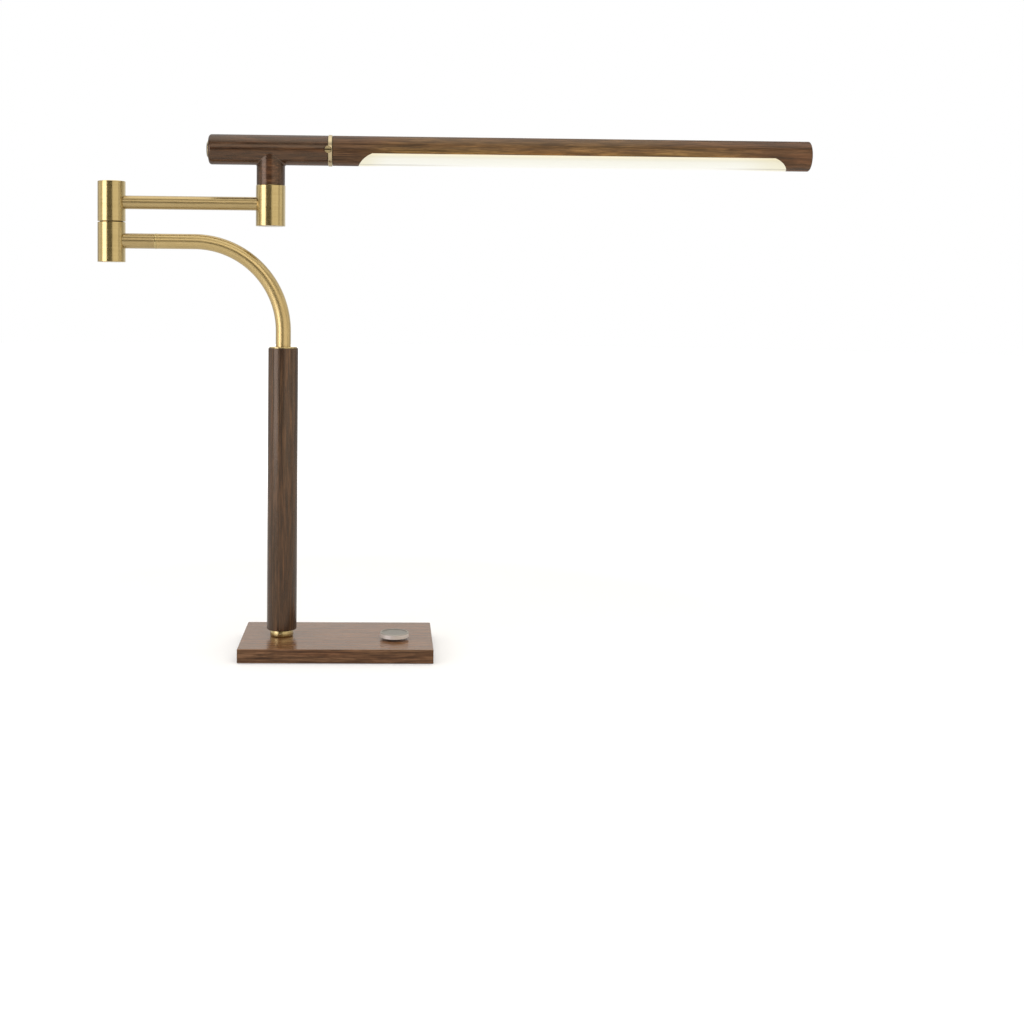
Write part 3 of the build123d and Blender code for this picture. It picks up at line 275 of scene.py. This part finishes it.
def metal(name, body, rough_low, rough_high, lay, grain, lacquer=0.0):
    """A bare or lacquered metal. Lay stretches the fine marks that its making left, by one scale
    for each axis or by a function that says where a point lies, and grain is marks to the metre."""
    made, tree = finish_named(name)
    where = put(tree, "TexCoord").outputs["Object"]
    if callable(lay):
        lie = lay(tree, where)
    else:
        lie = put(tree, "Mapping", {"Vector": where, "Scale": lay})
    marks = put(tree, "TexNoise", {"Vector": lie, "Scale": grain, "Detail": 2.0})
    dull = put(tree, "MapRange", {"Value": marks, "From Min": 0.3, "From Max": 0.7,
                                  "To Min": rough_low, "To Max": rough_high})
    tint = put(tree, "ValToRGB", {"Fac": marks}, stops=((0.3, body[0]), (0.7, body[1])))
    relief = put(tree, "Bump", {"Strength": 0.025, "Distance": METAL_RELIEF, "Height": marks})
    skin = put(tree, "BsdfPrincipled", {
        "Base Color": tint, "Metallic": 1.0, "Roughness": dull, "Normal": relief,
        "Coat Weight": lacquer, "Coat Roughness": 0.12}, name="skin")
    put(tree, "OutputMaterial", {"Surface": skin})
    return made


# Zinc plate: a bluish grey with soft reflections, and a grit of 1.1 mm in every direction. The
# real one is about 0.1 mm, too fine to show.
zinc_steel = metal("zinc_plated_steel", ("#a9a9ac", "#c4c4c6"), 0.32, 0.44, (1, 1, 1), ZINC_GRIT)
wear(zinc_steel, "ballast_plate", "bottom_cover", "cover_screws", "tie_rod", "tie_washer", "tie_nut")


# Foot: a sheet of black foam rubber, glued under the cover so that the base doesn't slide. It is
# cut from a slab, so its face shows the open cells.
def moulded(name, body, rough_low, rough_high, grain, depth):
    """A plastic or rubber. Grain is the number of its bumps to the metre, and depth their height."""
    made, tree = finish_named(name)
    where = put(tree, "TexCoord")
    speck = put(tree, "TexNoise", {"Vector": where.outputs["Object"], "Scale": grain, "Detail": 2.0})
    dull = put(tree, "MapRange", {"Value": speck, "From Min": 0.3, "From Max": 0.7,
                                  "To Min": rough_low, "To Max": rough_high})
    tint = put(tree, "ValToRGB", {"Fac": speck}, stops=((0.3, body[0]), (0.7, body[1])))
    relief = put(tree, "Bump", {"Strength": 0.3, "Distance": depth, "Height": speck})
    skin = put(tree, "BsdfPrincipled", {"Base Color": tint, "Roughness": dull, "Normal": relief})
    put(tree, "OutputMaterial", {"Surface": skin})
    return made


# Foam rubber: a dead matt black with cells of 0.7 mm.
FOAM_CELLS = 1500
foam_rubber = moulded("black_foam_rubber", ("#161514", "#2a2927"), 0.85, 0.97, FOAM_CELLS, 0.0003)
wear(foam_rubber, "anti_slip_sheet")

# Supply entry: a moulded grommet, pressed into the back edge of the base, and the round lead in
# its soft cover, which runs up through the column, the arm and the head to the light.
PLASTIC_GRAIN, COVER_RIPPLES = 2500, 1800
# Moulded plastic: black with a soft shine and an even grain of 0.4 mm.
black_plastic = moulded("moulded_black_plastic", ("#191919", "#222222"), 0.42, 0.55,
                        PLASTIC_GRAIN, 0.00004)
wear(black_plastic, "cord_grommet")
# Soft cover: a warmer and duller black, with a skin of 0.6 mm ripples.
lead_cover = moulded("soft_lead_cover", ("#1d1c1b", "#262524"), 0.5, 0.62, COVER_RIPPLES, 0.00005)
wear(lead_cover, "base_lead", "arm_lead", "head_lead", "bar_lead")

# Driver: a circuit board, fixed in the base's pocket, with six moulded parts soldered on it. The
# board is glass fibre and resin under a green coat.
BOARD_WEAVE = 700
# Coated board: a deep green gloss over a weave that shows as 1.4 mm flecks.
circuit_board = moulded("coated_circuit_board", ("#17442a", "#1f5635"), 0.28, 0.4,
                        BOARD_WEAVE, 0.00003)
wear(circuit_board, "driver_board")
wear(black_plastic, "driver_parts")

# Dimmer: a disc turned from aluminium, bevelled, anodised and pressed on a steel shaft. It turns
# and presses in a moulded housing, which a bush and a nut hold under the base.
KNOB_X, KNOB_Y = 0.0603, -0.014
KNOB_FACE, KNOB_FACE_RADIUS = (0.02155, 0.02165), (0.01265, 0.0130)
KNOB_BEVEL, LATHE_RINGS = (0.0211, 0.0215), 1400.0
# Anodised aluminium: a warm grey face with the lathe's rings, drawn 0.7 mm apart where the real
# ones are too fine to show, and a softer rim and side, painted paler: a painted reflection.
anodised, tree = finish_named("anodised_aluminium")
where = put(tree, "TexCoord")
centred = put(tree, "VectorMath", {0: where.outputs["Object"], 1: (KNOB_X, KNOB_Y, 0.0)},
              operation="SUBTRACT")
split = put(tree, "SeparateXYZ", {"Vector": centred})
flat = put(tree, "CombineXYZ", {"X": split.outputs["X"], "Y": split.outputs["Y"]})
out = put(tree, "VectorMath", {0: flat}, operation="LENGTH")
turned = put(tree, "TexNoise", {"W": out, "Scale": LATHE_RINGS, "Detail": 2.0},
             noise_dimensions="1D")
tint = put(tree, "ValToRGB", {"Fac": turned}, stops=((0.3, "#8f8b83"), (0.7, "#a39f96")))
high = put(tree, "MapRange", {"Value": split.outputs["Z"], "From Min": KNOB_FACE[0],
                              "From Max": KNOB_FACE[1]})
inner = put(tree, "MapRange", {"Value": out, "From Min": KNOB_FACE_RADIUS[0],
                               "From Max": KNOB_FACE_RADIUS[1], "To Min": 1.0, "To Max": 0.0})
face = put(tree, "Math", {0: high, 1: inner}, operation="MULTIPLY")
bevel = put(tree, "MapRange", {"Value": split.outputs["Z"], "From Min": KNOB_BEVEL[0],
                               "From Max": KNOB_BEVEL[1]})
# Painted reflection: the side below the bevel is near white, the rim above it a paler grey than the
# face.
side = put(tree, "Mix", {0: bevel, 6: colour("#efebe6"), 7: colour("#aeaaa2")}, data_type="RGBA")
side = put(tree, "Mix", {0: face, 6: side, 7: tint}, data_type="RGBA")
dull = put(tree, "MapRange", {"Value": face, "To Min": 0.6, "To Max": 0.38})
relief = put(tree, "Bump", {"Strength": 0.1, "Distance": 0.00004, "Height": turned})
skin = put(tree, "BsdfPrincipled", {"Base Color": side, "Metallic": 1.0, "Roughness": dull,
                                    "Normal": relief})
put(tree, "OutputMaterial", {"Surface": skin})
wear(anodised, "dimmer_knob")
wear(black_plastic, "dimmer_housing", "dimmer_rotor")
wear(zinc_steel, "dimmer_bush", "dimmer_nut", "dimmer_shaft", "contact_dome")

# Collar: a short ring, turned from solid brass with a rounded face, lacquered, and clamped between
# base and column. Its profile is given as shares of its height, with the radius at each.
COLUMN_X, COLLAR_LOW, COLLAR_HIGH = -0.0588, 0.0147, 0.0221
COLLAR_TURNS = ((0.0, 0.01172), (0.05, 0.01199), (0.12, 0.0122), (0.22, 0.01234), (0.34, 0.0124),
                (0.48, 0.01238), (0.62, 0.01228), (0.76, 0.01211), (0.89, 0.01187), (1.0, 0.01157))
CREASE = math.radians(40)
bpy.ops.object.select_all(action="DESELECT")
bpy.ops.mesh.primitive_circle_add(vertices=128, radius=COLLAR_TURNS[0][1], fill_type="NGON",
                                  location=(COLUMN_X, 0, COLLAR_LOW))
collar = bpy.context.object
collar.name = "collar_bead"
bpy.ops.object.transform_apply(location=True, rotation=False, scale=False)
bpy.ops.object.mode_set(mode="EDIT")
bpy.ops.mesh.select_all(action="SELECT")
for (low, inner), (high, outer) in zip(COLLAR_TURNS, COLLAR_TURNS[1:]):
    climb = (high - low) * (COLLAR_HIGH - COLLAR_LOW)
    bpy.ops.mesh.extrude_region_move(TRANSFORM_OT_translate={"value": (0, 0, climb)})
    bpy.ops.transform.resize(value=(outer / inner, outer / inner, 1),
                             center_override=(COLUMN_X, 0, COLLAR_LOW))
bpy.ops.mesh.select_all(action="SELECT")
bpy.ops.mesh.normals_make_consistent(inside=False)
bpy.ops.object.mode_set(mode="OBJECT")
bpy.ops.object.shade_smooth_by_angle(angle=CREASE)
# Rubbed brass: a mellow gold, a little softer than fresh from the lathe, with marks round it.
# Turned brass has marks of 0.6 mm, where real ones of 0.05 mm wouldn't show in the render.
TURNING_MARKS, ROUND_Z = 1600, (0.02, 0.02, 1)
rubbed_brass = metal("rubbed_satin_brass", ("#b6a169", "#c2ad75"), 0.26, 0.3, ROUND_Z,
                     TURNING_MARKS, 1.0)
collar.data.materials.append(rubbed_brass)
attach(collar, "stand")
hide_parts("column_collar")

# Column: a round bar of walnut, turned, bored for the tie rod and oiled. A thin ferrule, turned
# from brass, is let into its top, where the tube enters.
COLUMN_STRETCH = (0.071, 0.052, 0.0)
# Oiled column: the darkest wood here, with upright grain and a shine down its lit side.
column_walnut = walnut("oiled_walnut_column", "Z", COLUMN_STRETCH, "#5a4029", "#3a281a",
                       "#1c110a", 0.16, 0.75, 0.1)
wear(column_walnut, "column")
# Turned brass: a clear gold with crisp bands of light and dark, under a thin lacquer.
turned_brass = metal("turned_satin_brass", ("#b6a169", "#c2ad75"), 0.205, 0.23, ROUND_Z,
                     TURNING_MARKS, 0.85)
wear(turned_brass, "column_ferrule")

# Bent tube: drawn brass tube, bent through a right angle and rubbed along its length. A short
# stub joins it to the elbow over a steel sleeve, and a thin turned band covers the seam.
BEND_X, BEND_Z = -0.1515, 0.3363
TUBE_Z, SEAM_FROM, SEAM_TO = 0.429, -0.1927, -0.1903
SEAM_OUT, SEAM_IN, SEAM_EDGE = 0.00812, 0.0075, 0.0003
DRAWING_MARKS, ALONG_X = 1500, (0.03, 1, 1)


def round_the_bend(tree, where):
    """Long marks along the tube, which go round the bend with it."""
    split = put(tree, "SeparateXYZ", {"Vector": where})
    past = []
    for side, centre in (("X", BEND_X), ("Z", BEND_Z)):
        beyond = put(tree, "Math", {0: split.outputs[side], 1: centre}, operation="SUBTRACT")
        past.append(put(tree, "Math", {0: beyond, 1: 0.0}, operation="MAXIMUM"))
    arm = put(tree, "CombineXYZ", {"X": past[0], "Z": past[1]})
    turn = put(tree, "VectorMath", {0: arm}, operation="LENGTH")
    along = put(tree, "Math", {0: split.outputs["X"], 1: split.outputs["Z"]}, operation="SUBTRACT")
    along = put(tree, "Math", {0: along, 1: 0.03}, operation="MULTIPLY")
    return put(tree, "CombineXYZ", {"X": turn, "Y": split.outputs["Y"], "Z": along})


# Bent brass: a satin gold with softer light than on turned brass, drawn out into long streaks of
# 0.7 mm, where real ones are too fine to show.
# Painted light: the bent tube is the same brass as the straight tube, painted a shade paler.
bent_brass = metal("bent_satin_brass", ("#b69f6a", "#c5ad77"), 0.28, 0.36, round_the_bend,
                   DRAWING_MARKS, 0.5)
wear(bent_brass, "bent_tube")
# Drawn brass: the same satin and streaks on a straight tube, a shade darker than the bent tube, which
# is painted paler as painted light.
drawn_brass = metal("drawn_satin_brass", ("#a89262", "#b7a06f"), 0.28, 0.36, ALONG_X,
                    DRAWING_MARKS, 0.5)
wear(drawn_brass, "elbow_stub")
wear(zinc_steel, "tube_coupler")


def round_band(name, near, far, height, out, into, edge, brass):
    """A brass band round a level line at that height, from near to far, between two radii, with
    rounded edges."""
    bpy.ops.object.select_all(action="DESELECT")
    bpy.ops.mesh.primitive_circle_add(vertices=128, radius=out, location=(near, 0, height),
                                      rotation=(0, math.pi / 2, 0))
    made = bpy.context.object
    made.name = name
    bpy.ops.object.transform_apply(location=True, rotation=True, scale=False)
    bpy.ops.object.mode_set(mode="EDIT")
    bpy.ops.mesh.select_all(action="SELECT")
    bpy.ops.mesh.edge_face_add()
    bpy.ops.mesh.inset(thickness=out - into, depth=0)
    bpy.ops.mesh.delete(type="FACE")
    bpy.ops.mesh.select_all(action="SELECT")
    bpy.ops.mesh.extrude_region_move(TRANSFORM_OT_translate={"value": (far - near, 0, 0)})
    bpy.ops.mesh.select_all(action="SELECT")
    bpy.ops.mesh.normals_make_consistent(inside=False)
    bpy.ops.object.mode_set(mode="OBJECT")
    soft = made.modifiers.new("edges", "BEVEL")
    soft.width, soft.segments, soft.limit_method, soft.angle_limit = edge, 3, "ANGLE", CREASE
    bpy.ops.object.modifier_apply(modifier="edges")
    bpy.ops.object.shade_smooth_by_angle(angle=CREASE)
    made.data.materials.append(brass)
    return made


seam_band = round_band("seam_band", SEAM_FROM, SEAM_TO, TUBE_Z, SEAM_OUT, SEAM_IN, SEAM_EDGE,
                       turned_brass)
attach(seam_band, "stand")

# Elbow: two short barrels, turned from brass, each with a lid pressed in. The upper one turns on
# a hollow steel bolt, over a plastic washer that leaves a dark gap.
wear(turned_brass, "lower_barrel", "lower_barrel_lid", "upper_barrel", "upper_barrel_lid")
# Slip plastic: nearly black and waxy, with turning marks of 0.5 mm.
SLIP_MARKS = 2200
slip_plastic = moulded("turned_slip_plastic", ("#1f1d1b", "#2b2926"), 0.35, 0.45, SLIP_MARKS, 0.00003)
wear(slip_plastic, "elbow_glide_washer")
wear(zinc_steel, "elbow_bolt", "elbow_washers", "elbow_nut")

# Upper arm: a straight length of drawn brass tube, soldered into the upper barrel and into the
# head's barrel. That one is turned too, and holds the neck's pivot, made like the elbow's.
wear(drawn_brass, "arm_tube")
wear(turned_brass, "head_barrel", "head_barrel_lid")
wear(slip_plastic, "neck_glide_washer")
wear(zinc_steel, "neck_bolt", "neck_washers", "neck_nut", "neck_insert")

# Head: a tee of walnut, carved in one piece with its neck, sanded round and oiled. A darkened
# brass disc is let into its end, and another into the light bar's.
NECK_FROM, NECK_TO = 0.5125, 0.507
# Oiled head: a dark brown with level grain and a shine along its top, and a neck painted a shade
# paler, a painted sheen.
head_walnut = walnut("oiled_walnut_head", "X", (0.31, 0.087, 0.021), "#5a3d27", "#3d2819",
                     "#23150c", 0.16, 0.75, 0.06)
tree = head_walnut.node_tree
split = put(tree, "SeparateXYZ", {"Vector": put(tree, "TexCoord").outputs["Object"]})
neck = put(tree, "MapRange", {"Value": split.outputs["Z"], "From Min": NECK_FROM,
                              "From Max": NECK_TO})
# Painted sheen: the neck, below the tee, is washed paler.
wash(head_walnut, neck, (1.5, 1.55, 1.6, 1))
wear(head_walnut, "head_tee")
# Darkened brass: a near-black brown with a dull shine, and turning marks of 0.7 mm.
DISC_MARKS, ROUND_DISC = 1500, (1, 0.03, 0.03)
dark_brass = metal("darkened_brass", ("#37322a", "#453f34"), 0.34, 0.44, ROUND_DISC, DISC_MARKS)
wear(dark_brass, "tee_end_cap", "bar_end_cap")

# Ring and rims: a brass ring between head and light, turned and slid over the roll pivot, and a
# thin raised rim round each end's dark disc, pressed in with it.
BAR_Z, ROUND_X = 0.52495, (1, 0.02, 0.02)
RIM_OUT, RIM_IN, RIM_DEPTH, RIM_EDGE = 0.0095, 0.0082, 0.001, 0.00035
# Ring brass: the palest gold here, bare and nearly silver where it catches the light.
ring_brass = metal("turned_ring_brass", ("#b9a987", "#c6b795"), 0.22, 0.30, ROUND_X, TURNING_MARKS)
wear(ring_brass, "ring_sleeve")
for name, near, body in (("tee_end_ring", -0.1378, "head"), ("bar_end_ring", 0.4917, "light")):
    ring = round_band(name, near, near + RIM_DEPTH, BAR_Z, RIM_OUT, RIM_IN, RIM_EDGE, ring_brass)
    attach(ring, body)
wear(slip_plastic, "roll_glide_washer")
wear(zinc_steel, "roll_bolt", "roll_washers", "roll_nut", "bar_plug")

# Lock screw: a small brass screw through the ring, turned and slotted, which holds it. Its slot
# is painted dark, a painted shade.
SLOT_TOP, SLOT_FLOOR = -0.01535, -0.0151
# Screw brass: pale gold, with painted shade in dark brown from the slot's edge down.
screw_brass = metal("turned_screw_brass", ("#b6a478", "#cdbb90"), 0.3, 0.4, (1, 1, 0.1),
                    TURNING_MARKS)
tree = screw_brass.node_tree
split = put(tree, "SeparateXYZ", {"Vector": put(tree, "TexCoord").outputs["Object"]})
painted_slot_shade = put(tree, "MapRange", {"Value": split.outputs["Y"], "From Min": SLOT_TOP,
                              "From Max": SLOT_FLOOR})
wash(screw_brass, painted_slot_shade, colour("#2b2416"), blend="MIX")
wear(screw_brass, "ring_lock_screw")

# Light bar: a round bar of walnut, turned, oiled and milled out below for its long window. The
# aluminium channel inside is extruded, and two screws hold it.
WINDOW_TOP, WINDOW_FROM, WINDOW_TO = 0.52135, 0.0186, 0.4670
GLOW_REACH = 0.019
# Oiled bar: the warmest and palest of the turned wood, with painted light: golden near the
# window, where the light spills over its edge.
bar_walnut = walnut("oiled_walnut_bar", "X", (0.0, 0.05, 0.045), "#6a4c33", "#4d3521", "#2d1d10",
                    0.28, 0.5, 0.06)
tree = bar_walnut.node_tree
split = put(tree, "SeparateXYZ", {"Vector": put(tree, "TexCoord").outputs["Object"]})
height = put(tree, "MapRange", {"Value": split.outputs["Z"], "From Min": WINDOW_TOP + GLOW_REACH,
                                "From Max": WINDOW_TOP, "To Min": 0.0, "To Max": 1.0})
near = put(tree, "Math", {0: height, 1: 2.6}, operation="POWER")
left = put(tree, "MapRange", {"Value": split.outputs["X"], "From Min": WINDOW_FROM - 0.005,
                              "From Max": WINDOW_FROM + 0.05}, interpolation_type="SMOOTHSTEP")
right = put(tree, "MapRange", {"Value": split.outputs["X"], "From Min": WINDOW_TO + 0.01,
                               "From Max": WINDOW_TO - 0.12}, interpolation_type="SMOOTHSTEP")
inside = put(tree, "Math", {0: left, 1: right}, operation="MULTIPLY")
spill = put(tree, "Math", {0: near, 1: 0.75, 2: 0.25}, operation="MULTIPLY_ADD")
spill = put(tree, "Math", {0: spill, 1: inside}, operation="MULTIPLY")
wash(bar_walnut, spill, (2.5, 2.95, 2.0, 1))
wear(bar_walnut, "light_bar")
# Extruded aluminium: a clean pale grey with die lines of 0.8 mm along it.
DIE_LINES = 1200
extruded = metal("extruded_aluminium", ("#c3c3c1", "#d2d2d0"), 0.3, 0.4, (0.02, 1, 1), DIE_LINES)
wear(extruded, "led_channel")
wear(zinc_steel, "channel_screws")

# Light: a strip of white circuit board in the channel, with a row of small LEDs soldered on it.
# Each has a face of yellow phosphor, which shines white.
FLECKS, LED_FRONT, LED_BACK = 900, 0.52, 0.53
# White board: a bright even gloss, with faint flecks of 1.1 mm.
white_board = moulded("white_led_board", ("#dcdcd6", "#e6e6e1"), 0.3, 0.4, FLECKS, 0.00003)
wear(white_board, "led_board")
# Phosphor: yellow by daylight, and a warm white when lit, yellower towards the board.
phosphor, tree = finish_named("led_phosphor")
split = put(tree, "SeparateXYZ", {"Vector": put(tree, "TexCoord").outputs["Object"]})
level = put(tree, "MapRange", {"Value": split.outputs["Z"], "From Min": LED_FRONT,
                               "From Max": LED_BACK})
glow = put(tree, "ValToRGB", {"Fac": level}, stops=((0.0, "#fff6d6"), (1.0, "#ffecba")))
skin = put(tree, "BsdfPrincipled", {"Base Color": colour("#e6c24a"), "Roughness": 0.35, "IOR": 1.49,
                                    "Emission Color": glow, "Emission Strength": 2.0})
put(tree, "OutputMaterial", {"Surface": skin})
wear(phosphor, "leds")

# Cover: a strip of opal acrylic, extruded and clipped into the window over the LEDs. It glows
# evenly, creamier at its two ends and under the window's edge, with a painted shadow line in
# darker cream at the window's very edge and a thin grey line along its foot near the ends.
COVER_LOW = 0.50935
GREY_LINE_TOP, GREY_LINE_FOOT = (0.5113, 0.5109), (0.5098, 0.5101)
CREAM_ENDS = ((WINDOW_FROM + 0.035, WINDOW_FROM), (WINDOW_TO - 0.06, WINDOW_TO))
GREY_LINE_ENDS = ((WINDOW_FROM + 0.13, WINDOW_FROM + 0.03), (WINDOW_TO - 0.09, WINDOW_TO - 0.02))
# Opal acrylic: milky and nearly white when lit, with a soft shine and nothing to see through it.
opal, tree = finish_named("opal_acrylic")
split = put(tree, "SeparateXYZ", {"Vector": put(tree, "TexCoord").outputs["Object"]})
level = put(tree, "MapRange", {"Value": split.outputs["Z"], "From Min": COVER_LOW,
                               "From Max": WINDOW_TOP})
# The ramp's last stop, darker cream at the window's edge, is a painted shadow line.
glow = put(tree, "ValToRGB", {"Fac": level}, stops=(
    (0.0, "#fdfefb"), (0.3, "#f9fbf2"), (0.55, "#f3f4ea"), (0.74, "#e9e7d3"), (0.93, "#fbf2cf"),
    (1.0, "#f3e6c4")))
near_ends = []
for reaches in (CREAM_ENDS, GREY_LINE_ENDS):
    left, right = [
        put(tree, "MapRange", {"Value": split.outputs["X"], "From Min": start, "From Max": full},
            interpolation_type="SMOOTHSTEP") for start, full in reaches]
    near_ends.append(put(tree, "Math", {0: left, 1: right}, operation="MAXIMUM"))
cream = put(tree, "Mix", {0: near_ends[0], 6: glow, 7: (0.9, 0.85, 0.68, 1)},
            data_type="RGBA", blend_type="MULTIPLY")
top, foot = [put(tree, "MapRange", {"Value": split.outputs["Z"], "From Min": start, "From Max": full})
             for start, full in (GREY_LINE_TOP, GREY_LINE_FOOT)]
band = put(tree, "Math", {0: top, 1: foot}, operation="MULTIPLY")
grey_line = put(tree, "Math", {0: near_ends[1], 1: band}, operation="MULTIPLY")
cream = put(tree, "Mix", {0: grey_line, 6: cream, 7: (0.68, 0.68, 0.66, 1)},
            data_type="RGBA", blend_type="MULTIPLY")
skin = put(tree, "BsdfPrincipled", {"Base Color": colour("#96938b"), "Roughness": 0.35, "IOR": 1.49,
                                    "Emission Color": cream, "Emission Strength": 0.67})
put(tree, "OutputMaterial", {"Surface": skin})
wear(opal, "diffuser")
